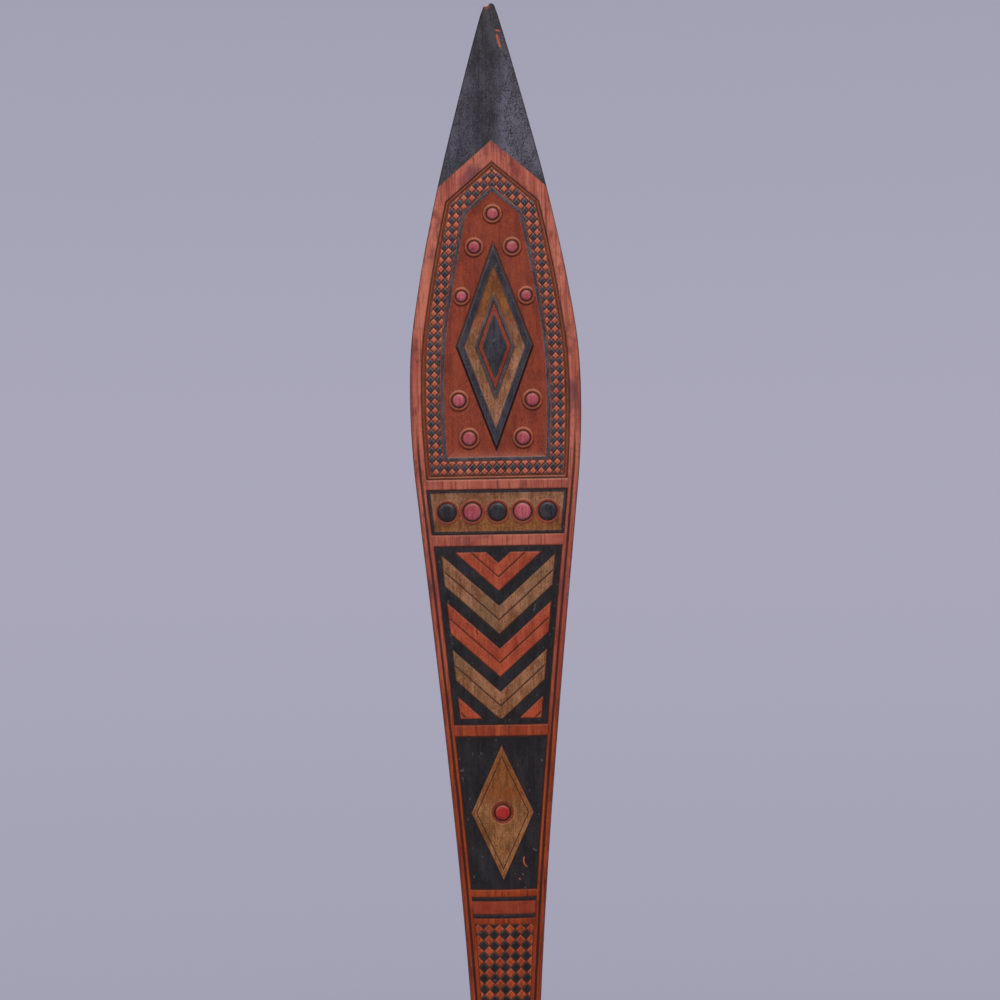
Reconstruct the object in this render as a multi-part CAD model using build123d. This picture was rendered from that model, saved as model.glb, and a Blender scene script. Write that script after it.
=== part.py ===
"""Single blade paddle: a leaf-shaped wooden blade and round shaft in one piece, with a crosspiece grip.

The grip is a crutch: a crosspiece with a through mortise that sits over a tenon cut on the shaft's end.
A peg crosses both from front to back, and two thin wedges spread the tenon where it shows on the grip's crown.
Millimetres. +Z runs along the paddle to the blade's tip, the painted face looks to -Y, and z = 0 is the throat,
where the blade has narrowed to a neck and a hook or fork holds the paddle.
"""

import os

from build123d import *

# Stations along the paddle: height, half width, thickness, and how square the section is (0 round, 1 leaf).
GRIP_SHOULDER = -507.0
SHAFT_TOP = -150.0
SHAFT_RADIUS = 15.5
TIP = 1030.0
STATIONS = [
    (SHAFT_TOP, SHAFT_RADIUS, 2 * SHAFT_RADIUS, 0.0),
    (-80.0, 17.6, 29.4, 0.2),
    (0.0, 21.0, 27.0, 0.5),
    (110.0, 23.8, 24.6, 0.8),
    (218.0, 28.9, 22.0, 1.0),
    (320.0, 36.0, 19.6, 1.0),
    (430.0, 45.6, 17.2, 1.0),
    (540.0, 56.4, 15.6, 1.0),
    (610.0, 63.6, 14.8, 1.0),
    (660.0, 68.3, 14.2, 1.0),
    (706.0, 70.0, 13.6, 1.0),
    (750.0, 68.4, 13.0, 1.0),
    (800.0, 61.2, 12.2, 1.0),
    (870.0, 47.0, 11.0, 1.0),
    (950.0, 26.9, 9.2, 1.0),
    (1000.0, 13.3, 7.6, 1.0),
    (TIP, 4.6, 6.0, 1.0),
]
EDGE_SHARE = 0.62  # the blade's edge, as a share of its thickness in the middle
EDGE_ROUND = 2.6  # how far the blade's edge bulges past its corners
ROUND_CORNER = 0.7071  # where a circle's corners lie, as a share of its radius

GRIP_LENGTH = 112.0  # along X
GRIP_HEIGHT = 38.0  # along Z, on the shaft's line
GRIP_DEPTH = 31.0  # along Y
GRIP_DROOP = 9.0  # how far the grip's ends bend towards the blade
GRIP_END_SHARE = 0.66  # the section near the grip's ends, as a share of the middle one
GRIP_TIP_SHARE = 0.41  # the last section, at the very ends
GRIP_STEPS = (-1.0, -0.9, -0.6, -0.25, 0.25, 0.6, 0.9, 1.0)

TENON_WIDTH = 22.0
TENON_DEPTH = 14.0
PEG_RADIUS = 3.25
PEG_CLEARANCE = 0.02
PEG_ABOVE_SHOULDER = 12.0
WEDGE_OFFSET = 5.5
WEDGE_DEPTH = 19.0
WEDGE_THICK = 2.8
WEDGE_THIN = 0.6


def blade_section(z, half_width, thickness, square):
    """The outline of the wood at height z: two broad arcs, front and back, joined by two short edge arcs."""
    half = thickness / 2
    edge = min(EDGE_ROUND, 0.3 * half_width)
    corner_x = (1 - square) * ROUND_CORNER * half_width + square * (half_width - edge)
    corner_y = (1 - square) * ROUND_CORNER * half + square * EDGE_SHARE * half
    front = ThreePointArc((-corner_x, -corner_y), (0, -half), (corner_x, -corner_y))
    right = ThreePointArc((corner_x, -corner_y), (half_width, 0), (corner_x, corner_y))
    back = ThreePointArc((corner_x, corner_y), (0, half), (-corner_x, corner_y))
    left = ThreePointArc((-corner_x, corner_y), (-half_width, 0), (-corner_x, -corner_y))
    outline = make_face(front.edges() + right.edges() + back.edges() + left.edges())
    return Pos(0, 0, z) * outline


def blade():
    """The blade, its throat and the flare down to the round shaft, as one smooth loft through the stations."""
    return loft([blade_section(*station) for station in STATIONS])


def shaft():
    """The round shaft, from the throat's flare to the shoulder under the grip."""
    return extrude(blade_section(*STATIONS[0]), amount=GRIP_SHOULDER - SHAFT_TOP)


def grip_section(share):
    """One section across the grip at a share of its half length: an ellipse that shrinks and bends to the ends."""
    at_end = abs(share) > 0.95
    size = GRIP_TIP_SHARE if at_end else 1 - (1 - GRIP_END_SHARE) * abs(share) ** 2.2
    x = share * GRIP_LENGTH / 2
    z = GRIP_SHOULDER - GRIP_HEIGHT / 2 + GRIP_DROOP * share**2
    plane = Plane(origin=(x, 0, z), x_dir=(0, 1, 0), z_dir=(1, 0, 0))
    return plane * Ellipse(GRIP_DEPTH / 2 * size, GRIP_HEIGHT / 2 * size)


def grip_envelope():
    """The grip's whole outside, with the flat seat that meets the shaft's shoulder."""
    crosspiece = loft([grip_section(share) for share in GRIP_STEPS])
    boss_height = GRIP_HEIGHT / 2
    boss = Pos(0, 0, GRIP_SHOULDER - boss_height / 2) * Cylinder(SHAFT_RADIUS, boss_height)
    return crosspiece + boss - shaft()


def tenon_block():
    """The space of the tenon and its mortise, from the shoulder to beyond the grip's crown."""
    length = GRIP_HEIGHT + 10
    return Pos(0, 0, GRIP_SHOULDER - length / 2) * Box(TENON_WIDTH, TENON_DEPTH, length)


def wedge_block(side):
    """One thin wedge, thick at the grip's crown and thin inside the tenon, on one side of the middle."""
    top = GRIP_SHOULDER - GRIP_HEIGHT + WEDGE_DEPTH
    bottom = GRIP_SHOULDER - GRIP_HEIGHT - 1
    x = side * WEDGE_OFFSET
    outline = Polyline(
        (x - WEDGE_THICK / 2, bottom),
        (x + WEDGE_THICK / 2, bottom),
        (x + WEDGE_THIN / 2, top),
        (x - WEDGE_THIN / 2, top),
        close=True,
    )
    return extrude(Plane.XZ * make_face(outline), TENON_DEPTH / 2, both=True)


def peg_rod(radius):
    """A rod along Y through the grip and the tenon, a little under the shoulder."""
    rod = Cylinder(radius, 2 * GRIP_DEPTH, rotation=(90, 0, 0))
    return Pos(0, 0, GRIP_SHOULDER - PEG_ABOVE_SHOULDER) * rod


def build_parts():
    """Every piece in its place, by node name."""
    envelope = grip_envelope()
    peg_hole = peg_rod(PEG_RADIUS + PEG_CLEARANCE)
    tenon = (tenon_block() & envelope) - wedge_block(-1) - wedge_block(1) - peg_hole
    return {
        "paddle_body": blade() + shaft() + tenon,
        "crutch_grip": envelope - tenon_block() - peg_hole,
        "grip_peg": peg_rod(PEG_RADIUS) & envelope,
        "tenon_wedge_left": wedge_block(-1) & envelope,
        "tenon_wedge_right": wedge_block(1) & envelope,
    }


os.makedirs("parts", exist_ok=True)
for node, piece in build_parts().items():
    piece.label = node
    export_step(piece, f"parts/{node}.step")
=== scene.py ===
"""A carved and painted single blade paddle, tip up, on a plain pale floor.

The wood is made first, as one skin of rings from the grip to the tip. The face's panels are then cut, raised
and painted on that skin in the order a carver lays them out, from the tip down, and the grip's pieces come
last. Millimetres are used for the carving, as on the bench, and turned into metres when a mesh is made.
"""

import math

import bpy
import numpy as np
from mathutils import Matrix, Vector


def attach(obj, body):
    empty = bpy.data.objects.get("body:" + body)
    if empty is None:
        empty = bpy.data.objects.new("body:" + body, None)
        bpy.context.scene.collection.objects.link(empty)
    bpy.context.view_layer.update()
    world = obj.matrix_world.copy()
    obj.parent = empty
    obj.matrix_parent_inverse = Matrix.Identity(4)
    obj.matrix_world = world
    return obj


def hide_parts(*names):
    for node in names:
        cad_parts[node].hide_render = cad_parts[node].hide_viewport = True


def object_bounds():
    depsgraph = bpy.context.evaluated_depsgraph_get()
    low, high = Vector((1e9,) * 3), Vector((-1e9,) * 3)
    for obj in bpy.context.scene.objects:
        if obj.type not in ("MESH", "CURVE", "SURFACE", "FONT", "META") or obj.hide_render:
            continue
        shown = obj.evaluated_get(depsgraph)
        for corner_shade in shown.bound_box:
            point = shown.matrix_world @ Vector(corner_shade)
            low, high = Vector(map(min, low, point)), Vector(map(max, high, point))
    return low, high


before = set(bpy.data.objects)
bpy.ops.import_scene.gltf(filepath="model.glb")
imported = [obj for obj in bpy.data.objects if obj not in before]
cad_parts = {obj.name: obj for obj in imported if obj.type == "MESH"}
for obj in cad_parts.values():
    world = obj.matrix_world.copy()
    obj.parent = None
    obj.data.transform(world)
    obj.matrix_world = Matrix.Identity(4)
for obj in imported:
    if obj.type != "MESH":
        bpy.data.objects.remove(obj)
cad_low, cad_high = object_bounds()

# --------------------------------------------------------------------------------------------------
# The plank. Blade, neck and round shaft are one piece of red cedar, split along its grain and shaved to
# a leaf with a low crown on both faces. A shaft this thick is left round, and the blade's edges are
# rounded over.
# --------------------------------------------------------------------------------------------------
MM = 0.001
# A station: height along the paddle, half width, thickness, and 0 for a round section to 1 for a leaf.
STATIONS = np.array([
    (-507.0, 15.5, 31.0, 0.0), (-150.0, 15.5, 31.0, 0.0), (-80.0, 17.6, 29.4, 0.2), (0.0, 21.0, 27.0, 0.5),
    (110.0, 23.8, 24.6, 0.8), (218.0, 28.9, 22.0, 1.0), (320.0, 36.0, 19.6, 1.0), (430.0, 45.6, 17.2, 1.0),
    (540.0, 56.4, 15.6, 1.0), (610.0, 63.6, 14.8, 1.0), (660.0, 68.3, 14.2, 1.0), (706.0, 70.0, 13.6, 1.0),
    (750.0, 68.4, 13.0, 1.0), (800.0, 61.2, 12.2, 1.0), (870.0, 47.0, 11.0, 1.0), (950.0, 26.9, 9.2, 1.0),
    (1000.0, 13.3, 7.6, 1.0), (1030.0, 4.6, 6.0, 1.0),
])
SHOULDER, CARVED_FROM, CARVED_TO, TIP = -507.0, 96.0, 926.0, 1030.0
FACE_COLUMNS, EDGE_COLUMNS, BACK_COLUMNS = 236, 7, 44
EDGE_SHARE, EDGE_ROUND = 0.62, 2.6
BANDS = 6


def along(z, column):
    """A station value at any height: a cubic between stations, whose slope at each is the mean of its
    neighbours'."""
    height, value = STATIONS[:, 0], STATIONS[:, column]
    slope = np.gradient(value, height)
    i = np.clip(np.searchsorted(height, z) - 1, 0, len(height) - 2)
    step = height[i + 1] - height[i]
    t = (z - height[i]) / step
    return (
        (2 * t**3 - 3 * t**2 + 1) * value[i] + (t**3 - 2 * t**2 + t) * step * slope[i]
        + (3 * t**2 - 2 * t**3) * value[i + 1] + (t**3 - t**2) * step * slope[i + 1]
    )


def half_section(share):
    """Half a ring over the face, left edge to right, as four arrays: across and out for a leaf, and the
    same for a circle. Inside the corners a leaf is a parabola, and past them a quarter ellipse, while a
    circle keeps its angle. share runs from -1 to 1 over the broad part, and one more unit on each side
    over the rounded edge."""
    inner = np.clip(share, -1, 1)
    turn = np.clip(np.abs(share) - 1, 0, 1) * math.pi / 2
    angle = np.sign(share) * (np.abs(inner) * math.pi / 4 + turn / 2)
    return inner, turn, angle


heights = np.concatenate([
    np.arange(SHOULDER, CARVED_FROM, 9.0), np.arange(CARVED_FROM, CARVED_TO, 0.6),
    np.linspace(CARVED_TO, TIP, 104),
])
half_width, half_depth, leaf_share = along(heights, 1), along(heights, 2) / 2, along(heights, 3)
corner_x = half_width - np.minimum(EDGE_ROUND, 0.3 * half_width)
edge_steps = 1 + np.linspace(0, 1, EDGE_COLUMNS + 1)[1:]
face_share = np.concatenate([-edge_steps[::-1], np.linspace(-1, 1, FACE_COLUMNS), edge_steps])
back_share = np.concatenate([edge_steps[:-1][::-1], np.linspace(1, -1, BACK_COLUMNS), -edge_steps[:-1]])
ring_share = np.concatenate([face_share, back_share])
outward = np.concatenate([-np.ones(len(face_share)), np.ones(len(back_share))])
inner, turn, angle = half_section(ring_share)

w, d, q, cx = half_width[:, None], half_depth[:, None], leaf_share[:, None], corner_x[:, None]
leaf_x = cx * inner + np.sign(ring_share) * (w - cx) * np.sin(turn)
leaf_y = np.where(turn > 0, EDGE_SHARE * d * np.cos(turn), d * (1 - (1 - EDGE_SHARE) * inner**2))
ring_x = q * leaf_x + (1 - q) * w * np.sin(angle)
ring_y = (q * leaf_y + (1 - q) * d * np.cos(angle)) * outward
ring_z = np.repeat(heights[:, None], len(ring_share), axis=1)

carved_rows = slice(np.searchsorted(heights, CARVED_FROM), len(heights))
carved_columns = slice(EDGE_COLUMNS, EDGE_COLUMNS + FACE_COLUMNS)
face_x = ring_x[carved_rows, carved_columns]
face_z = ring_z[carved_rows, carved_columns]
face_heights = heights[carved_rows]

# --------------------------------------------------------------------------------------------------
# Knife work and paint on the blade's face. A panel is a number at each point of the face: how deep the
# point lies inside it. That depth shapes the knife's wall and groove, and says where the paint ends. The
# paints are thin milk-and-charcoal washes, brushed up to the knife line.
# --------------------------------------------------------------------------------------------------
FAR = 9.0
PAINTS = ("black", "slate", "ochre", "shaded_ochre", "pink", "red", "rose", "salmon", "orange", "rust", "umber")
relief = np.zeros_like(face_x)
cut = np.zeros_like(face_x)
paint = {name: np.full_like(face_x, -FAR) for name in PAINTS}


def smooth(low, high, value):
    """0 below low, 1 above high, and a smooth S between them. With low above high it runs the other way."""
    t = np.clip((value - low) / (high - low), 0, 1)
    return t * t * (3 - 2 * t)


def curve(*points, steps=9):
    """An open smooth line through the points: a cubic whose direction at a point is that of its two
    neighbours."""
    p = np.array(points, float)
    p = np.vstack([2 * p[0] - p[1], p, 2 * p[-1] - p[-2]])
    t = np.linspace(0, 1, steps, endpoint=False)[:, None, None]
    a, b, c, d = p[:-3], p[1:-2], p[2:-1], p[3:]
    line = 0.5 * (2 * b + (c - a) * t + (2 * a - 5 * b + 4 * c - d) * t**2 + (3 * b - a - 3 * c + d) * t**3)
    return np.vstack([line.transpose(1, 0, 2).reshape(-1, 2), p[-2:-1]])


def window(low, high):
    """The rows and columns of the face that a box of (x, z) reaches, with room for the edge of a cut."""
    rows = slice(*np.searchsorted(face_heights, (low[1] - FAR, high[1] + FAR)))
    near = np.any((face_x[rows] > low[0] - FAR) & (face_x[rows] < high[0] + FAR), axis=0)
    columns = np.flatnonzero(near)
    return rows, slice(columns[0], columns[-1] + 1)


def stroke(line, half, pointed):
    """How deep each point lies inside a knife stroke or scratch along an open line. Its half width fades
    to nothing over pointed mm at both ends."""
    deep = np.full_like(face_x, -FAR)
    here = window(line.min(0), line.max(0))
    x, z = face_x[here], face_z[here]
    best = np.full_like(x, -FAR)
    pieces = np.linalg.norm(np.diff(line, axis=0), axis=1)
    run = np.concatenate([[0], np.cumsum(pieces)])
    for (ax, az), (bx, bz), start, piece in zip(line[:-1], line[1:], run, pieces):
        ex, ez = bx - ax, bz - az
        t = np.clip(((x - ax) * ex + (z - az) * ez) / max(piece**2, 1e-9), 0, 1)
        place = start + t * piece
        here_half = half * np.clip(np.minimum(place, run[-1] - place) / pointed, 0, 1) ** 0.7
        best = np.maximum(best, here_half - np.hypot(x - ax - t * ex, z - az - t * ez))
    deep[here] = best
    return deep


def lay(name, deep):
    """Brushes a paint on, over whatever is there."""
    for other in PAINTS:
        paint[other] = np.minimum(paint[other], -deep)
    paint[name] = np.maximum(paint[name], deep)


def level(deep, height, wall=0.7):
    """Cuts or leaves the wood inside a panel at a height, in mm, with a sloping wall round it."""
    share = smooth(-wall, wall, deep)
    relief[:] = relief * (1 - share) + height * share


def groove(deep, depth=0.8, half=1.1, stain=1.0):
    """A V cut along a panel's border. Old finish and dirt gather in it."""
    vee = np.clip(1 - np.abs(deep) / half, 0, 1)
    relief[:] -= depth * vee
    cut[:] = np.maximum(cut, stain * smooth(0, 0.75, vee))


def hollow(deep, depth, reach):
    """A dished floor: it falls away from the border as a parabola does, and is level past reach mm."""
    t = np.clip(deep / reach, 0, 1)
    relief[:] -= depth * (1 - (1 - t) ** 2)


def round_up(deep, height, reach):
    """A domed field, which rises from its border as a parabola does, and is level past reach mm."""
    hollow(deep, -height, reach)


def hatch(deep_in, middle_z, step_x, step_z, dark, light, stain=0.75, pale="salmon", deep_by=1.0):
    """Crossed knife cuts in a panel, which leave rows of diamonds: every second one black. step_x and
    step_z lead from one black diamond to the next, and the pale ones sit half way between. A diamond is
    where |u| + |v| < share / 2, with u and v counted in those steps from its middle."""
    lay("umber", deep_in + 0.4)
    level(deep_in + 0.2, -deep_by, 0.5)
    cut[:] = np.maximum(cut, stain * smooth(-0.5, 0.3, deep_in))
    u, v = face_x / step_x, (face_z - middle_z) / step_z
    reach = 0.5 * min(step_x, step_z) * 1.41
    for shift, share, name in ((0.0, dark, "black"), (0.5, light, pale)):
        du = u + shift - np.round(u + shift)
        dv = v + shift - np.round(v + shift)
        deep = np.minimum((share * 0.5 - np.abs(du) - np.abs(dv)) * reach, deep_in)
        deep = np.where(deep_in > -0.5, deep, -FAR)
        lay(name, deep)
        level(deep - 0.1, 0.0, 0.6)
        cut[:] = cut * (1 - smooth(-0.35, 0.15, deep))


# The tip is dipped in black, down to a plain V.
TIP_PEAK, TIP_SLOPE = 918.0, 0.85


def inside_tip(x, z):
    """How far a point is above the tip's painted border."""
    return (z - TIP_PEAK + TIP_SLOPE * np.abs(x)) / math.hypot(1, TIP_SLOPE)


lay("black", np.clip(inside_tip(face_x, face_z), -FAR, FAR))

# The panels are laid out from the middle line and from the blade's edge, so both halves match.
aside = np.abs(face_x)
from_edge = (half_width[carved_rows][:, None] - aside) * 0.97


def field(inset, low, high, gable=0.0):
    """A panel that follows the blade's edge, inset mm in from it. Its top falls away by gable for each
    mm aside."""
    top = (high - gable * aside - face_z) / math.hypot(1, gable)
    return np.minimum(np.minimum(from_edge - inset, face_z - low), top)


def rhomb(middle_z, half_x, half_z):
    """An upright rhomb on the middle line: 1 - |x|/a - |z|/b, in mm square to its sides."""
    share = 1 - aside / half_x - np.abs(face_z - middle_z) / half_z
    return share * half_x * half_z / math.hypot(half_x, half_z)


BEAD_RING = 2.6


def bead(x, z, radius, name):
    """A raised, painted round with a red-brown ring cut round it, on both sides of the middle line."""
    disc = radius - np.hypot(aside - x, face_z - z)
    level(disc + BEAD_RING, -0.6, 0.6)
    lay("rust", disc + BEAD_RING)
    groove(disc, 0.5, 1.3)
    round_up(disc, 1.0, 4.0)
    lay(name, disc)


# The upper panel: its ground is cut back, and a frame of crossed cuts runs round it inside the groove.
UPPER_INSET, UPPER_LOW, UPPER_PEAK = 9.5, 642.0, 900.0
CUTS_OUT, CUTS_IN, FRAME_LINE, FRAME_LINE_HALF = 3.6, 14.2, 16.4, 1.3
upper = field(UPPER_INSET, UPPER_LOW, UPPER_PEAK, TIP_SLOPE)
groove(upper, 0.9, 1.3, 0.8)
level(upper - 1.2, -0.9, 0.8)
lay("umber", upper - 0.3)
groove(upper - 2.6, 0.3, 0.8, 0.5)
hatch(np.minimum(upper - CUTS_OUT, CUTS_IN - upper), 745.0, 6.6, 7.2, 0.86, 0.82)
upper_floor = upper - FRAME_LINE - 1.8
level(upper_floor, -0.7, 0.7)
hollow(upper_floor, 1.2, 7)
lay("rust", upper_floor)
level(FRAME_LINE_HALF + 0.1 - np.abs(upper - FRAME_LINE), -0.3, 0.5)
lay("slate", FRAME_LINE_HALF - np.abs(upper - FRAME_LINE))

# A tall rhomb stands in it: a black frame, a dished ochre ground, a slate line, and a raised black
# middle.
FRAME_WIDTH, CLAY_WIDTH, MIDDLE_FROM = 6.0, 8.0, 19.5
frame_rhomb = rhomb(750.0, 31.0, 84.0)
level(frame_rhomb, 0.1, 0.9)
groove(frame_rhomb, 0.6, 1.5)
lay("black", frame_rhomb)
clay_rhomb = frame_rhomb - FRAME_WIDTH
level(clay_rhomb, -0.6, 0.7)
hollow(clay_rhomb, 1.3, 7)
lay("ochre", clay_rhomb)
# Painted shade: a darker ochre over the upper part of the rhomb's ochre ground.
lay("shaded_ochre", np.minimum(clay_rhomb, (face_z - 770) * 0.03))
line_rhomb = clay_rhomb - CLAY_WIDTH
level(line_rhomb, -0.9, 0.5)
lay("rust", line_rhomb)
lay("slate", 1.2 - np.abs(line_rhomb - 1.1))
groove(line_rhomb - 2.6, 0.4, 0.9, 0.8)
middle_rhomb = frame_rhomb - MIDDLE_FROM
level(middle_rhomb, -0.1, 0.8)
round_up(middle_rhomb, 0.35, 6)
lay("black", middle_rhomb)

# Pink beads fill the corners beside the rhomb.
for x, z, radius in (
    (0.0, 858.0, 5.0), (15.5, 831.0, 5.0), (26.5, 791.0, 4.6), (30.0, 706.0, 5.6), (22.0, 675.0, 5.8),
):
    bead(x, z, radius, "pink")

# A cross band of ochre with a row of beads in it, between black lines.
BAND_LOW, BAND_HIGH, BAND_BEAD, BAND_STEP = 597.0, 633.0, 7.4, 20.5
band = field(8.5, BAND_LOW, BAND_HIGH)
groove(band, 0.6, 1.3)
level(band - 1.0, -0.5, 0.8)
hollow(band - 2.4, 0.6, 6)
lay("ochre", band)
# Painted shade: a darker ochre over the lower part of the band.
lay("shaded_ochre", np.minimum(band, (612 - face_z) * 0.05))
lay("black", 1.3 - np.abs(band - 1.1))
for count, name in enumerate(("black", "pink", "black")):
    bead(count * BAND_STEP, (BAND_LOW + BAND_HIGH) / 2, BAND_BEAD, name)

# The middle panel is black, with chevrons left standing in it, orange and ochre in turn.
CHEVRON_TOP, CHEVRON_SLOPE, CHEVRON_STEP, CHEVRON_HALF = 562.0, 0.9, 35.0, 8.6
middle = field(9.0, 442.0, 587.0)
groove(middle, 0.6, 1.3)
level(middle, -0.35, 0.7)
lay("black", middle)
for count, name in enumerate(("orange", "ochre", "orange", "ochre", "orange")):
    line_z = CHEVRON_TOP - CHEVRON_STEP * count + CHEVRON_SLOPE * aside
    from_line = (face_z - line_z) / math.hypot(1, CHEVRON_SLOPE)
    chevron = np.minimum(middle - 4.6, CHEVRON_HALF - np.abs(from_line))
    level(chevron, 0.0, 0.9)
    groove(chevron, 0.3, 1.0, 0.7)
    lay(name, chevron)
    groove(np.minimum(chevron - 1.5, 0.2 - np.abs(from_line)), 0.4, 0.9, 0.8)

# The lower panel: an ochre rhomb on black, and a red bead in it.
lower = field(8.4, 308.0, 432.0)
groove(lower, 0.6, 1.3)
level(lower, -0.35, 0.7)
hollow(lower, 0.4, 8)
lay("black", lower)
LOW_MIDDLE = 370.0
low_rhomb = rhomb(LOW_MIDDLE, 25.5, 55.0)
level(low_rhomb, 0.0, 0.9)
groove(low_rhomb, 0.3, 1.0, 0.7)
lay("ochre", low_rhomb)
# Painted shade: a darker ochre over the upper part of the rhomb.
lay("shaded_ochre", np.minimum(low_rhomb, (face_z - 384) * 0.03))
groove(low_rhomb - 4.0, 0.4, 0.9, 0.7)
bead(0.0, LOW_MIDDLE, 6.4, "red")

# Plain black bars with a worn rose stain between them, over a checker of crossed cuts that runs down to
# the neck.
BAR_HIGH, BAR_LOW = 300.0, 286.0
lay("rose", field(8.4, BAR_LOW, BAR_HIGH) - 0.4)
for bar_z in (BAR_HIGH, BAR_LOW):
    bar = np.minimum(from_edge - 8.4, 1.5 - np.abs(face_z - bar_z))
    groove(bar, 0.4, 1.1, 0.7)
    lay("black", bar)
checker = field(8.2, 120.0, 280.0)
level(checker, -0.35, 0.9)
hatch(checker - 0.6, 200.0, 8.6, 8.9, 0.93, 0.88, 0.25, "orange", 0.6)

# A long knife line sets the rim off from the panels on each side, and runs out beside the upper one.
rim_line = np.minimum(0.2 - np.abs(from_edge - 4.8), np.minimum(face_z - 108, (636 - face_z) * 0.02))
groove(rim_line, 0.7, 1.4, 0.85)

# Small signs of use: a drying crack, rubbed paint, and bruises that show the wood.
groove(stroke(curve((-19.8, 533), (-19.2, 525), (-18, 515)), 0.1, pointed=6), 0.5, 0.8, 0.8)
for line, half in (
    (curve((19.5, 325.5), (17.2, 328), (16.4, 331.5), (17.2, 334.5)), 0.55),
    (curve((12.2, 316.6), (13.8, 315.6)), 0.9), (curve((15.0, 320.2), (16.2, 319)), 0.7),
    (curve((4.0, 1008.6), (7, 1008.1), (10.6, 1007.6)), 0.75),
    (curve((5.6, 1005.5), (6.8, 1001), (7.6, 998), (9.0, 994)), 1.05),
):
    mark = stroke(line, half, pointed=1.5)
    lay("salmon", mark)
    level(mark, -0.35, 0.5)

# Dull scuffs on the black, where the paddle has leaned on things.
scuff = np.zeros_like(face_x)
for line, half, strength in (
    (curve((-18.5, 338), (-17.4, 330), (-16.6, 322), (-17.2, 316)), 2.2, 0.28),
    (curve((11.5, 913), (13.2, 911.6), (14.4, 909.4)), 0.7, 1.0),
):
    scuff = np.maximum(scuff, smooth(-2.5, 1.5, stroke(line, half, pointed=4)) * strength)

# The very tip has split off at the left, and shows red wood.
lay("rust", np.minimum((face_z - 1027.6) * 0.6, 0.4 - face_x))

# --------------------------------------------------------------------------------------------------
# The skin with its carving, as closed lengths that meet ring to ring. A length holds under 200,000
# triangles.
# --------------------------------------------------------------------------------------------------
cut_y = np.zeros_like(ring_x)
cut_y[carved_rows, carved_columns] = relief
ring_y = ring_y + cut_y * outward

chip = 2.3 * smooth(0.6, -1.2, ring_x) + 1.2 * smooth(3.0, 4.6, ring_x)
chip = chip + 1.4 * np.exp(-(((ring_x + 1.9) / 0.6) ** 2))
ring_z = ring_z - chip * smooth(TIP - 9, TIP, ring_z)


def ring_normals(x, y, z):
    """Unit normals of the whole skin: the cross product of the steps round the ring and along the
    paddle."""
    round_step = [np.roll(v, -1, axis=1) - np.roll(v, 1, axis=1) for v in (x, y, z)]
    long_step = [np.gradient(v, axis=0) for v in (x, y, z)]
    normal = np.cross(np.stack(round_step, -1), np.stack(long_step, -1))
    return normal / np.maximum(np.linalg.norm(normal, axis=-1, keepdims=True), 1e-9)


normals = ring_normals(ring_x, ring_y, ring_z)
skin_paint = {}
for name in PAINTS:
    whole = np.full_like(ring_x, -FAR)
    whole[carved_rows, carved_columns] = paint[name]
    skin_paint[name] = whole
off_the_face = np.ones(ring_x.shape[1], bool)
off_the_face[carved_columns] = False
around_tip = np.where(ring_z > CARVED_TO - 60, np.clip(inside_tip(ring_x, ring_z), -FAR, FAR), -FAR)
skin_paint["black"][:, off_the_face] = around_tip[:, off_the_face]
skin_cut = np.zeros_like(ring_x)
skin_cut[carved_rows, carved_columns] = cut
skin_edge = half_width[:, None] - np.abs(ring_x) + 6 * (1 - q)

# Raised edges are lightened, partly as paint rubbed off and partly as a painted highlight, and the inside
# corners darkened as painted shade: both follow how sharply the relief bends, which is minus the sum of
# its second slopes across and along.
row_step = np.gradient(face_heights)[:, None]
column_step = np.gradient(face_x, axis=1)
bend_along = np.gradient(np.gradient(relief, axis=0) / row_step, axis=0) / row_step
bend_across = np.gradient(np.gradient(relief, axis=1) / column_step, axis=1) / column_step
skin_ridge = np.zeros_like(ring_x)
skin_ridge[carved_rows, carved_columns] = np.clip(-bend_along - bend_across, -2, 2)

# Painted light from above: slopes that face up get a painted highlight and those that face down a painted
# shade, both following the slope along the blade. The scuffs on the black are added in, and lighten too.
skin_scuff_and_slope_light = np.zeros_like(ring_x)
skin_scuff_and_slope_light[carved_rows, carved_columns] = np.clip(scuff - np.gradient(relief, axis=0) / row_step, -1, 1)


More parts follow.
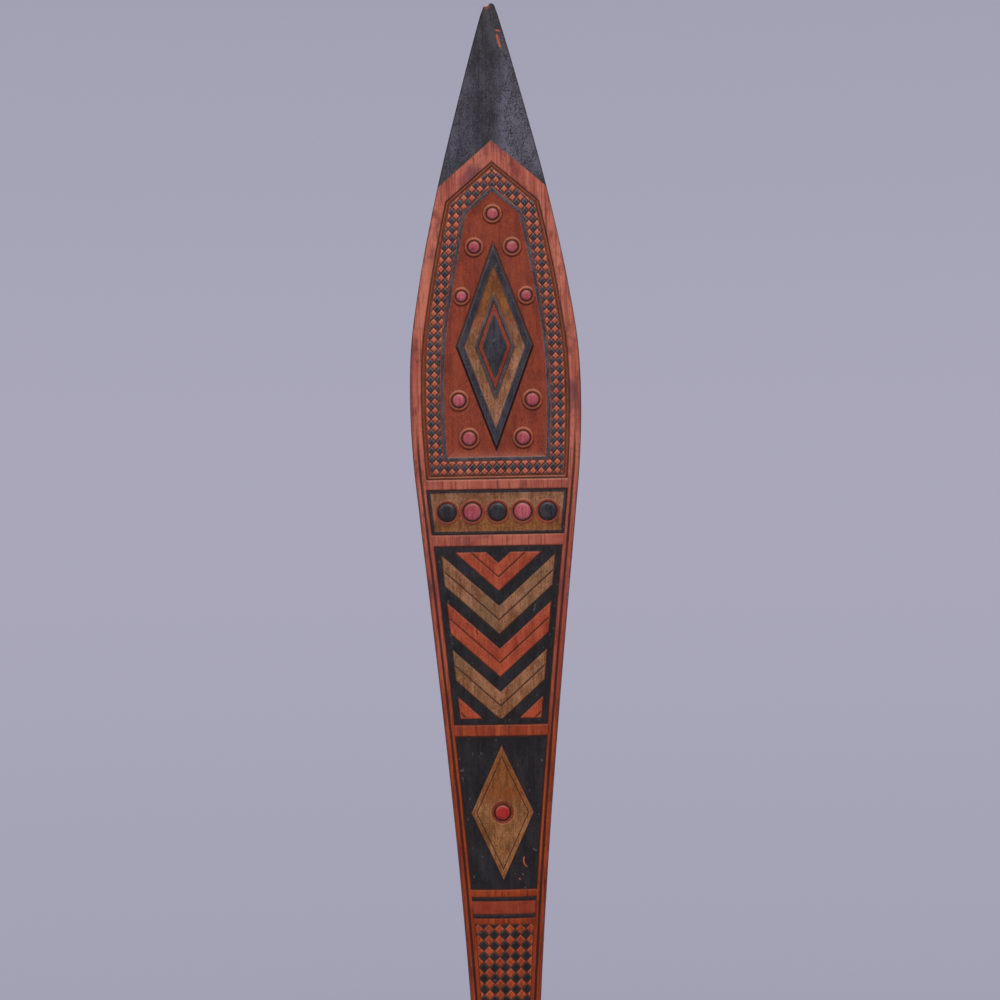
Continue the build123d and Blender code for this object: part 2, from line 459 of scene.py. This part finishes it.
def skin_length(name, rows):
    """A closed mesh of the rings in rows: quads between rings, and a many-sided lid at each end."""
    part = [v[rows] for v in (ring_x, ring_y, ring_z)]
    count, round_count = part[0].shape
    points = np.stack(part, -1).reshape(-1, 3) * MM
    i = np.arange(count - 1)[:, None] * round_count
    j = np.arange(round_count)[None, :]
    after = (j + 1) % round_count
    quads = np.stack([i + j, i + after, i + after + round_count, i + j + round_count], -1).reshape(-1, 4)
    low_lid = np.arange(round_count)[::-1]
    high_lid = (count - 1) * round_count + np.arange(round_count)
    mesh = bpy.data.meshes.new(name)
    mesh.vertices.add(len(points))
    mesh.vertices.foreach_set("co", points.astype(np.float32).ravel())
    corners = np.concatenate([quads.ravel(), low_lid, high_lid])
    starts = np.concatenate([np.arange(len(quads)) * 4, [quads.size, quads.size + round_count]])
    mesh.loops.add(len(corners))
    mesh.loops.foreach_set("vertex_index", corners.astype(np.int32))
    mesh.polygons.add(len(starts))
    mesh.polygons.foreach_set("loop_start", starts.astype(np.int32))
    mesh.update(calc_edges=True)
    mesh.validate()
    mesh.polygons.foreach_set("use_smooth", np.ones(len(mesh.polygons), bool))
    mesh.normals_split_custom_set_from_vertices(normals[rows].reshape(-1, 3))
    for attribute_name, values in (*skin_paint.items(), ("cut", skin_cut), ("edge", skin_edge),
                                   ("ridge", skin_ridge), ("scuff_and_slope_light", skin_scuff_and_slope_light)):
        attribute = mesh.attributes.new(attribute_name, "FLOAT", "POINT")
        attribute.data.foreach_set("value", values[rows].astype(np.float32).ravel())
    piece = bpy.data.objects.new(name, mesh)
    bpy.context.scene.collection.objects.link(piece)
    return piece


limits = np.linspace(0, len(heights) - 1, BANDS + 1).astype(int)
paddle = [
    skin_length(f"paddle_length_{k + 1}", slice(first, last + 1))
    for k, (first, last) in enumerate(zip(limits, limits[1:]))
]

# --------------------------------------------------------------------------------------------------
# Cedar and its paints. The wood is stained red-brown and rubbed with oil, and its grain runs along the
# paddle. The washes are thin, so grain and pores show in them, and they have worn off at high spots. Light
# and shade are painted into the colour as well: highlights on raised edges and on slopes that face up,
# shade in inside corners and on slopes that face down, a darker ochre as shade, and a sheen on the black.
# --------------------------------------------------------------------------------------------------


class Material:
    """A short way to write a node material: each call adds one node and returns its output."""

    def __init__(self, name):
        self.material = bpy.data.materials.new(name)
        self.material.use_nodes = True
        self.tree = self.material.node_tree
        self.shader = self.tree.nodes["Principled BSDF"]
        coordinates = self.tree.nodes.new("ShaderNodeTexCoord")
        self.place = coordinates.outputs["Object"]

    def node(self, kind, values, **inputs):
        node = self.tree.nodes.new(kind)
        for key, value in values.items():
            setattr(node, key, value)
        for key, value in inputs.items():
            socket = node.inputs[int(key[1:])] if key[0] == "i" and key[1:].isdigit() else node.inputs[key]
            if isinstance(value, bpy.types.NodeSocket):
                self.tree.links.new(value, socket)
            else:
                socket.default_value = value
        return node

    def scaled(self, x, y, z):
        """The object's own coordinates, stretched. A small number makes a long pattern on that axis."""
        return self.node("ShaderNodeMapping", {}, Vector=self.place, Scale=(x, y, z)).outputs["Vector"]

    def noise(self, vector, scale=1.0, detail=3.0, roughness=0.55):
        """Noise from 0 to 1."""
        node = self.node(
            "ShaderNodeTexNoise", {}, Vector=vector, Scale=scale, Detail=detail, Roughness=roughness)
        return node.outputs["Fac"]

    def math(self, operation, a, b=0.0):
        """One sum."""
        return self.node("ShaderNodeMath", {"operation": operation}, i0=a, i1=b).outputs[0]

    def ramp(self, value, low, high, start=0.0, end=1.0):
        """value from low to high becomes start to end, smoothly, and no further."""
        node = self.node("ShaderNodeMapRange", {"interpolation_type": "SMOOTHSTEP"}, Value=value)
        for key, number in (("From Min", low), ("From Max", high), ("To Min", start), ("To Max", end)):
            node.inputs[key].default_value = number
        return node.outputs["Result"]

    def attribute(self, name):
        """A number stored on the mesh."""
        return self.node("ShaderNodeAttribute", {"attribute_name": name}).outputs["Fac"]

    def blend(self, share, a, b, kind="MIX"):
        """Colour a to colour b by share. Either may be a plain red, green and blue."""
        node = self.node("ShaderNodeMix", {"data_type": "RGBA", "blend_type": kind})
        for socket, value in ((node.inputs[0], share), (node.inputs[6], a), (node.inputs[7], b)):
            if isinstance(value, bpy.types.NodeSocket):
                self.tree.links.new(value, socket)
            else:
                socket.default_value = value if isinstance(value, float) else (*value, 1.0)
        return node.outputs[2]

    def finish(self, colour, rough, height, bump, distance):
        """Joins colour, roughness and bump to the shader."""
        self.tree.links.new(colour, self.shader.inputs["Base Color"])
        self.tree.links.new(rough, self.shader.inputs["Roughness"])
        raised = self.node("ShaderNodeBump", {}, Height=height, Strength=bump, Distance=distance)
        self.tree.links.new(raised.outputs["Normal"], self.shader.inputs["Normal"])
        return self.material


def tint(red, green, blue):
    """A paint's colour as mixed on a card, in the 0 to 255 of a colour chart, as linear light."""
    card = np.array([red, green, blue]) / 255
    return tuple(np.where(card < 0.04045, card / 12.92, ((card + 0.055) / 1.055) ** 2.4).tolist())


def cedar():
    """The plank's wood with all its paints."""
    m = Material("stained_cedar")
    grain = m.noise(m.scaled(640, 640, 17), 1.0, 4.0, 0.65)
    streak = m.noise(m.scaled(150, 150, 4.5), 1.0, 3.0)
    pores = m.noise(m.scaled(1300, 1300, 110), 1.0, 2.0)
    rays = m.noise(m.scaled(110, 110, 1100), 1.0, 2.0)
    mottle = m.noise(m.scaled(105, 105, 52), 1.0, 5.0, 0.68)
    cloud = m.noise(m.scaled(26, 26, 15), 1.0, 2.0)
    fine = m.noise(m.scaled(1000, 1000, 1000), 1.0, 3.0, 0.7)
    height = m.node("ShaderNodeSeparateXYZ", {}, Vector=m.place).outputs["Z"]
    up = m.ramp(height, 0.37, 0.64)
    wood = m.blend(up, tint(132, 48, 17), tint(153, 77, 63))
    lighter = m.blend(up, tint(160, 72, 32), tint(186, 111, 90))
    darker = m.blend(up, tint(80, 25, 10), tint(94, 38, 36))
    wood = m.blend(m.ramp(cloud, 0.40, 0.64), wood, m.blend(0.6, wood, lighter))
    wood = m.blend(m.ramp(streak, 0.48, 0.70, 0.0, 0.8), wood, lighter)
    wood = m.blend(m.ramp(grain, 0.47, 0.70, 0.0, 0.80), wood, darker)
    wood = m.blend(m.ramp(mottle, 0.50, 0.70, 0.0, 0.65), wood, darker)
    wood = m.blend(m.ramp(rays, 0.52, 0.72, 0.0, 0.22), wood, darker)
    patches = m.noise(m.scaled(36, 36, 26), 1.0, 4.0, 0.6)
    bruise = m.math("MULTIPLY", up, m.ramp(patches, 0.53, 0.71, 0.0, 0.75))
    wood = m.blend(bruise, wood, tint(88, 52, 62))
    wobble = m.math("MULTIPLY", m.math("SUBTRACT", m.noise(m.scaled(420, 420, 420), 1.0, 2.0), 0.5), 0.7)
    fine_and_mottle = m.math("ADD", m.math("MULTIPLY", fine, 0.35), m.math("MULTIPLY", mottle, 0.40))
    thin = m.ramp(m.math("ADD", m.math("MULTIPLY", grain, 0.25), fine_and_mottle), 0.42, 0.60)
    # Painted sheen: the black paint, plain and worn alike, is lighter towards the top of the blade.
    upper = m.ramp(height, 0.53, 0.67)
    black_with_painted_sheen = m.blend(upper, tint(18, 17, 19), tint(31, 30, 36))
    worn_black_with_painted_sheen = m.blend(upper, tint(40, 38, 42), tint(61, 60, 70))
    colour = wood
    shares = {}
    for name, plain, worn, sheer in (
        ("umber", tint(78, 34, 14), tint(130, 62, 32), 0.9),
        ("rust", tint(96, 32, 16), tint(140, 60, 34), 0.88),
        ("rose", tint(112, 40, 32), tint(148, 66, 52), 0.75),
        ("salmon", tint(142, 62, 46), tint(184, 100, 80), 0.85),
        ("orange", tint(124, 44, 22), tint(174, 82, 54), 0.88),
        ("red", tint(142, 22, 32), tint(168, 48, 50), 0.9),
        ("pink", tint(138, 54, 66), tint(176, 92, 104), 0.96),
        ("ochre", tint(98, 62, 34), tint(158, 114, 86), 0.94),
        # The darker ochre, laid as painted shade.
        ("shaded_ochre", tint(90, 52, 20), tint(142, 90, 46), 0.94),
        ("slate", tint(42, 40, 46), tint(86, 82, 90), 1.0),
        ("black", black_with_painted_sheen, worn_black_with_painted_sheen, 1.0),
    ):
        edge = m.math("ADD", m.attribute(name), wobble)
        shares[name] = m.ramp(edge, -0.28, 0.28, 0.0, sheer)
        colour = m.blend(shares[name], colour, m.blend(thin, plain, worn))
    verdigris = m.math("MULTIPLY", shares["ochre"], m.ramp(cloud, 0.52, 0.64, 0.0, 0.35))
    colour = m.blend(verdigris, colour, tint(98, 88, 58))
    clay = m.math("MAXIMUM", shares["ochre"], shares["shaded_ochre"])
    clay_spots = m.ramp(m.noise(m.scaled(520, 520, 240), 1.0, 3.0, 0.7), 0.56, 0.70, 0.0, 0.6)
    colour = m.blend(m.math("MULTIPLY", clay, clay_spots), colour, tint(62, 38, 26))
    dark = m.math("MAXIMUM", shares["black"], shares["slate"])
    yellowed = m.math("MULTIPLY", m.ramp(height, 0.30, 0.56, 1.0, 0.0), m.math("SUBTRACT", 1.0, dark))
    colour = m.blend(yellowed, colour, (1.0, 0.92, 0.62), "MULTIPLY")
    # Pale bluish specks on the tip's black, kept to both sides of the tip and fewer near its very end, so
    # that they make a painted sheen there.
    in_tip = m.math("MULTIPLY", dark, m.ramp(height, 0.875, 0.905))
    speckle = m.math("ADD", m.math("MULTIPLY", mottle, 0.3), m.math("MULTIPLY", fine, 0.7))
    tip_specks_and_sheen = m.ramp(speckle, 0.36, 0.60)
    across = m.node("ShaderNodeSeparateXYZ", {}, Vector=m.place).outputs["X"]
    right_side = m.ramp(across, 0.001, 0.012, 0.06, 0.85)
    side = m.math("MAXIMUM", right_side, m.ramp(across, -0.022, -0.008, 0.42, 0.06))
    tip_specks_and_sheen = m.math("MULTIPLY", m.math("MULTIPLY", tip_specks_and_sheen, side), m.ramp(height, 0.94, 1.01, 1.0, 0.35))
    colour = m.blend(m.math("MULTIPLY", in_tip, tip_specks_and_sheen), colour, tint(98, 98, 114))
    pit = m.math("MULTIPLY", m.ramp(m.noise(m.scaled(520, 520, 400), 1.0, 2.0), 0.57, 0.66, 0.0, 0.9), side)
    colour = m.blend(m.math("MULTIPLY", in_tip, pit), colour, tint(24, 23, 25))
    in_pore = m.blend(0.65, colour, (0.012, 0.006, 0.004))
    colour = m.blend(m.ramp(pores, 0.56, 0.72, 0.0, 0.6), colour, in_pore)
    # Raised edges get lighter: partly paint rubbed off to the wood, partly a painted highlight, which on the
    # black is a grey that is lighter towards the top.
    rub_and_highlight = m.ramp(m.math("ADD", m.attribute("ridge"), m.math("MULTIPLY", wobble, 0.8)), 0.30, 1.5, 0.0, 0.6)
    bright_wood = m.blend(0.5, colour, tint(214, 128, 86))
    worn_and_highlight = m.blend(dark, bright_wood, m.blend(up, tint(58, 56, 62), tint(98, 97, 110)))
    colour = m.blend(rub_and_highlight, colour, worn_and_highlight)
    in_cut = m.math("ADD", m.attribute("cut"), m.math("MULTIPLY", wobble, 0.25))
    grime = m.ramp(in_cut, 0.15, 0.95, 0.0, 0.88)
    colour = m.blend(grime, colour, tint(44, 18, 10))
    # Painted shade: the inside corners of the relief are darkened.
    in_corner = m.math("ADD", m.attribute("ridge"), m.math("MULTIPLY", wobble, 0.5))
    corner_shade = m.ramp(in_corner, -1.3, -0.2, 0.65, 0.0)
    colour = m.blend(corner_shade, colour, m.blend(0.8, colour, tint(32, 13, 8)))
    # Painted highlight on slopes that face up and on the scuffs, and painted shade on slopes that face down.
    scuff_and_slope_highlight = m.ramp(m.attribute("scuff_and_slope_light"), 0.06, 0.80, 0.0, 0.36)
    pale_scuff_and_highlight_wood = m.blend(0.5, colour, tint(214, 158, 132))
    colour = m.blend(scuff_and_slope_highlight, colour, m.blend(dark, pale_scuff_and_highlight_wood, tint(92, 91, 102)))
    down_slope_shade = m.ramp(m.attribute("scuff_and_slope_light"), -0.80, -0.06, 0.45, 0.0)
    colour = m.blend(down_slope_shade, colour, m.blend(0.75, colour, tint(30, 12, 8)))
    # The colour turns dark brown within about a millimetre of the blade's edges.
    near_edge_darkening = m.math("ADD", m.attribute("edge"), m.math("MULTIPLY", wobble, 1.6))
    colour = m.blend(m.ramp(near_edge_darkening, 0.0, 1.3, 0.75, 0.0), colour, tint(40, 16, 11))
    speck = m.ramp(m.noise(m.scaled(260, 260, 190), 1.0, 1.0), 0.71, 0.75, 0.0, 0.5)
    colour = m.blend(speck, colour, m.blend(dark, tint(66, 30, 24), tint(88, 84, 88)))
    rough = m.math("ADD", m.ramp(fine, 0.3, 0.7, 0.40, 0.60), m.math("MULTIPLY", dark, -0.03))
    open_pores = m.math("ADD", m.math("MULTIPLY", pores, -0.5), m.math("MULTIPLY", fine, 0.5))
    relief_height = m.math("ADD", m.math("MULTIPLY", grain, 0.6), open_pores)
    m.shader.inputs["Specular IOR Level"].default_value = 0.22
    return m.finish(colour, rough, relief_height, 0.6, 0.0004)


cedar_finish = cedar()
for piece in paddle:
    piece.data.materials.append(cedar_finish)
    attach(piece, "root")
    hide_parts("paddle_body")

# --------------------------------------------------------------------------------------------------
# The tenon. The shaft goes on through the crosspiece as a squared tongue, which two saw kerfs split in
# three, and it is cut off level with the crown. Its end shows the plank's end grain, dark with oil.
# --------------------------------------------------------------------------------------------------
TENON_HALF_DEPTH, TENON_PROUD, TENON_ROOT = 7.0, 0.12, SHOULDER + 2
TONGUES = ((-11.0, -6.95), (-4.05, 4.05), (6.95, 11.0))
CROWN_MIDDLE, CROWN_DROOP, GRIP_HALF_LENGTH = SHOULDER - 19.0, 9.0, 56.0
CROWN_HALF_HEIGHT, CROWN_HALF_DEPTH = 19.0, 15.5


def crown(x, y):
    """The height of the grip's crown: an ellipse across the grip, which shrinks as |share|^2.2 and bends
    as share^2 towards the ends, with share from 0 at the shaft's line to 1 at an end."""
    share = np.abs(x) / GRIP_HALF_LENGTH
    size = 1 - 0.34 * share**2.2
    across = np.clip(1 - (y / (CROWN_HALF_DEPTH * size)) ** 2, 0, 1)
    return CROWN_MIDDLE + CROWN_DROOP * share**2 - CROWN_HALF_HEIGHT * size * np.sqrt(across)


def tongue(name, left, right):
    """A closed bar from the shoulder to the crown: rings of |x/a|^14 + |y/b|^14 = 1 go down its sides,
    then in over its end, which follows the crown."""
    turn = np.linspace(0, 2 * math.pi, 96, endpoint=False)[None, :]
    ring_shape = [np.sign(v(turn)) * np.abs(v(turn)) ** (1 / 7) for v in (np.cos, np.sin)]
    over_the_end = [1 - 0.02 * np.linspace(0, 1, 3)[1:], np.linspace(0.96, 0.02, 16)]
    size = np.concatenate([np.ones(24), *over_the_end])[:, None]
    down = np.concatenate([np.linspace(0, 1, 24), np.ones(18)])[:, None]
    x = (left + right) / 2 + (right - left) / 2 * ring_shape[0] * size
    y = TENON_HALF_DEPTH * ring_shape[1] * size
    end = crown(x, y) - TENON_PROUD * smooth(1.0, 0.95, size)
    return closed_rings(name, x, y, TENON_ROOT + (end - TENON_ROOT) * down)


def closed_rings(name, x, y, z):
    """A closed mesh of rings that run clockwise as seen from above, first ring highest."""
    count, round_count = x.shape
    i = np.arange(count - 1)[:, None] * round_count
    j = np.arange(round_count)[None, :]
    after = (j + 1) % round_count
    quads = np.stack([i + j, i + j + round_count, i + after + round_count, i + after], -1).reshape(-1, 4)
    lids = [list(range(round_count)), list(range((count - 1) * round_count, count * round_count))[::-1]]
    mesh = bpy.data.meshes.new(name)
    mesh.from_pydata((np.stack([x, y, z], -1).reshape(-1, 3) * MM).tolist(), [], quads.tolist() + lids)
    mesh.polygons.foreach_set("use_smooth", np.ones(len(mesh.polygons), bool))
    piece = bpy.data.objects.new(name, mesh)
    bpy.context.scene.collection.objects.link(piece)
    return piece


def end_grain():
    """Cut-off cedar: growth rings as dark bands that bow across the end, with open pores."""
    m = Material("cedar_end_grain")
    off_centre = m.node("ShaderNodeMapping", {}, Vector=m.place, Location=(0.004, 0.045, 0.0))
    bowed = m.node(
        "ShaderNodeTexWave", {"wave_type": "RINGS", "rings_direction": "Z"},
        Vector=off_centre.outputs["Vector"], Scale=210.0, Distortion=1.6, Detail=3.0).outputs["Fac"]
    pores = m.noise(m.scaled(2400, 2400, 300), 1.0, 2.0)
    oil = m.noise(m.scaled(190, 190, 60), 1.0, 3.0)
    colour = m.blend(m.ramp(bowed, 0.30, 0.75), tint(128, 60, 30), tint(76, 30, 15))
    colour = m.blend(m.ramp(oil, 0.4, 0.7, 0.0, 0.6), colour, tint(58, 24, 13))
    colour = m.blend(m.ramp(pores, 0.55, 0.68, 0.0, 0.7), colour, tint(34, 14, 8))
    height = m.math("SUBTRACT", m.math("MULTIPLY", bowed, -0.4), pores)
    return m.finish(colour, m.ramp(oil, 0.3, 0.7, 0.42, 0.62), height, 0.4, 0.0003)


end_grain_finish = end_grain()
for name, (left, right) in zip(("tenon_tongue_left", "tenon_tongue_middle", "tenon_tongue_right"), TONGUES):
    piece = tongue(name, left, right)
    piece.data.materials.append(end_grain_finish)
    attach(piece, "root")

# --------------------------------------------------------------------------------------------------
# The crosspiece, with its peg and the two wedges that lock it. The crosspiece is red cedar with its
# grain along the grip, rubbed smooth by hands; the peg and the wedges are split from a pale hard maple,
# and have gone brown.
# --------------------------------------------------------------------------------------------------


def turned_wood(name, along, plain, light, dark, polish):
    """A small piece's wood. along stretches the grain: the small number is on the axis that the grain
    follows."""
    m = Material(name)
    grain = m.noise(m.scaled(*[700 * share for share in along]), 1.0, 5.0, 0.65)
    streak = m.noise(m.scaled(*[170 * share for share in along]), 1.0, 3.0)
    pores = m.noise(m.scaled(*[1500 * max(share, 0.08) for share in along]), 1.0, 2.0)
    grip_wear = m.noise(m.scaled(38, 60, 60), 1.0, 4.0, 0.6)
    nick = m.noise(m.scaled(240, 300, 300), 1.0, 1.0)
    colour = m.blend(m.ramp(streak, 0.42, 0.68), plain, light)
    colour = m.blend(m.ramp(grain, 0.46, 0.74, 0.0, 0.75), colour, dark)
    colour = m.blend(m.ramp(grip_wear, 0.46, 0.72, 0.0, 0.65), colour, m.blend(0.6, colour, dark))
    colour = m.blend(m.ramp(pores, 0.58, 0.72, 0.0, 0.5), colour, tint(30, 14, 8))
    colour = m.blend(m.ramp(nick, 0.74, 0.79, 0.0, 0.7), colour, tint(32, 15, 9))
    pits = m.math("ADD", pores, m.ramp(nick, 0.72, 0.79))
    height = m.math("SUBTRACT", m.math("MULTIPLY", grain, 0.6), pits)
    rough = m.ramp(grip_wear, 0.35, 0.70, polish, polish + 0.18)
    return m.finish(colour, rough, height, 0.4, 0.0003)


grip_finish = turned_wood(
    "grip_cedar", (0.016, 1, 1), tint(128, 52, 26), tint(158, 76, 42), tint(78, 30, 16), 0.34)
peg_finish = turned_wood(
    "peg_maple", (1, 0.016, 1), tint(150, 108, 66), tint(176, 134, 88), tint(104, 68, 38), 0.45)
wedge_finish = turned_wood(
    "wedge_maple", (1, 1, 0.016), tint(160, 118, 74), tint(186, 146, 98), tint(112, 76, 44), 0.5)
for node, finish in (
    ("crutch_grip", grip_finish), ("grip_peg", peg_finish),
    ("tenon_wedge_left", wedge_finish), ("tenon_wedge_right", wedge_finish),
):
    for material_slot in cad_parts[node].material_slots:
        material_slot.material = finish

# --------------------------------------------------------------------------------------------------
# Floor, light and camera. The paddle stands on its grip on a plain pale floor, in a studio with three
# soft boxes.
# --------------------------------------------------------------------------------------------------
FLOOR_SIZE = 3.2
turn = np.linspace(0, 2 * math.pi, 96, endpoint=False)
floor_mesh = bpy.data.meshes.new("floor")
floor_points = np.stack([FLOOR_SIZE * np.cos(turn), FLOOR_SIZE * np.sin(turn), np.full(96, cad_low.z)], 1)
floor_mesh.from_pydata(floor_points.tolist(), [], [list(range(96))])
floor_piece = bpy.data.objects.new("floor", floor_mesh)
bpy.context.scene.collection.objects.link(floor_piece)
floor_material = Material("pale_floor")
floor_material.shader.inputs["Base Color"].default_value = (*tint(205, 203, 212), 1)
floor_material.shader.inputs["Roughness"].default_value = 0.9
floor_mesh.materials.append(floor_material.material)

# The studio is pale round the horizon, and dim overhead and underfoot, so that the lamps do most of the
# work.
world = bpy.data.worlds.new("studio")
world.use_nodes = True
sky = world.node_tree
direction = sky.nodes.new("ShaderNodeTexCoord")
parts = sky.nodes.new("ShaderNodeSeparateXYZ")
rise = sky.nodes.new("ShaderNodeMath")
rise.operation = "ABSOLUTE"
sky_ramp = sky.nodes.new("ShaderNodeValToRGB")
sky.links.new(direction.outputs["Generated"], parts.inputs["Vector"])
sky.links.new(parts.outputs["Z"], rise.inputs[0])
sky.links.new(rise.outputs["Value"], sky_ramp.inputs["Fac"])
sky.links.new(sky_ramp.outputs["Color"], sky.nodes["Background"].inputs["Color"])
sky_ramp.color_ramp.elements[0].position = 0.04
sky_ramp.color_ramp.elements[0].color = (*tint(169, 167, 185), 1)
sky_ramp.color_ramp.elements[1].position = 0.62
sky_ramp.color_ramp.elements[1].color = (*tint(78, 78, 84), 1)
middle = sky_ramp.color_ramp.elements.new(0.20)
middle.color = (*tint(163, 162, 181), 1)
bpy.context.scene.world = world
bpy.context.scene.view_settings.view_transform = "Standard"


def soft_light(name, place, target, size, power, colour):
    """A square soft box that points from place to target."""
    lamp = bpy.data.lights.new(name, "AREA")
    lamp.shape, lamp.size, lamp.energy = "SQUARE", size, power
    lamp.color = colour
    box = bpy.data.objects.new(name, lamp)
    box.location = place
    direction = np.array(target, float) - np.array(place, float)
    box.rotation_mode = "QUATERNION"
    box.rotation_quaternion = Vector(direction).to_track_quat("-Z", "Y")
    bpy.context.scene.collection.objects.link(box)


soft_light("key", (0.7, -2.3, 3.8), (0, 0, 0.55), 0.8, 140, (1.0, 0.93, 0.84))
soft_light("fill", (-2.4, -2.2, 1.9), (0, 0, 0.5), 1.2, 26, (1.0, 0.94, 0.88))
soft_light("rim", (0.9, 2.6, 2.9), (0, 0, 0.4), 1.4, 70, (1.0, 0.96, 0.92))

VIEW_WIDTH, VIEW_X, VIEW_Z, VIEW_ROLL = 814.0, 2.2, 624.6, 0.985
camera_data = bpy.data.cameras.new("camera")
camera_data.lens, camera_data.sensor_width = 85.0, 36.0
camera = bpy.data.objects.new("camera", camera_data)
face_y = -8.0
distance = VIEW_WIDTH * camera_data.lens / camera_data.sensor_width
camera.location = (VIEW_X * MM, (face_y - distance) * MM, VIEW_Z * MM)
camera.rotation_mode = "XYZ"
camera.rotation_euler = (math.pi / 2, math.radians(VIEW_ROLL), 0)
bpy.context.scene.collection.objects.link(camera)
bpy.context.scene.camera = camera
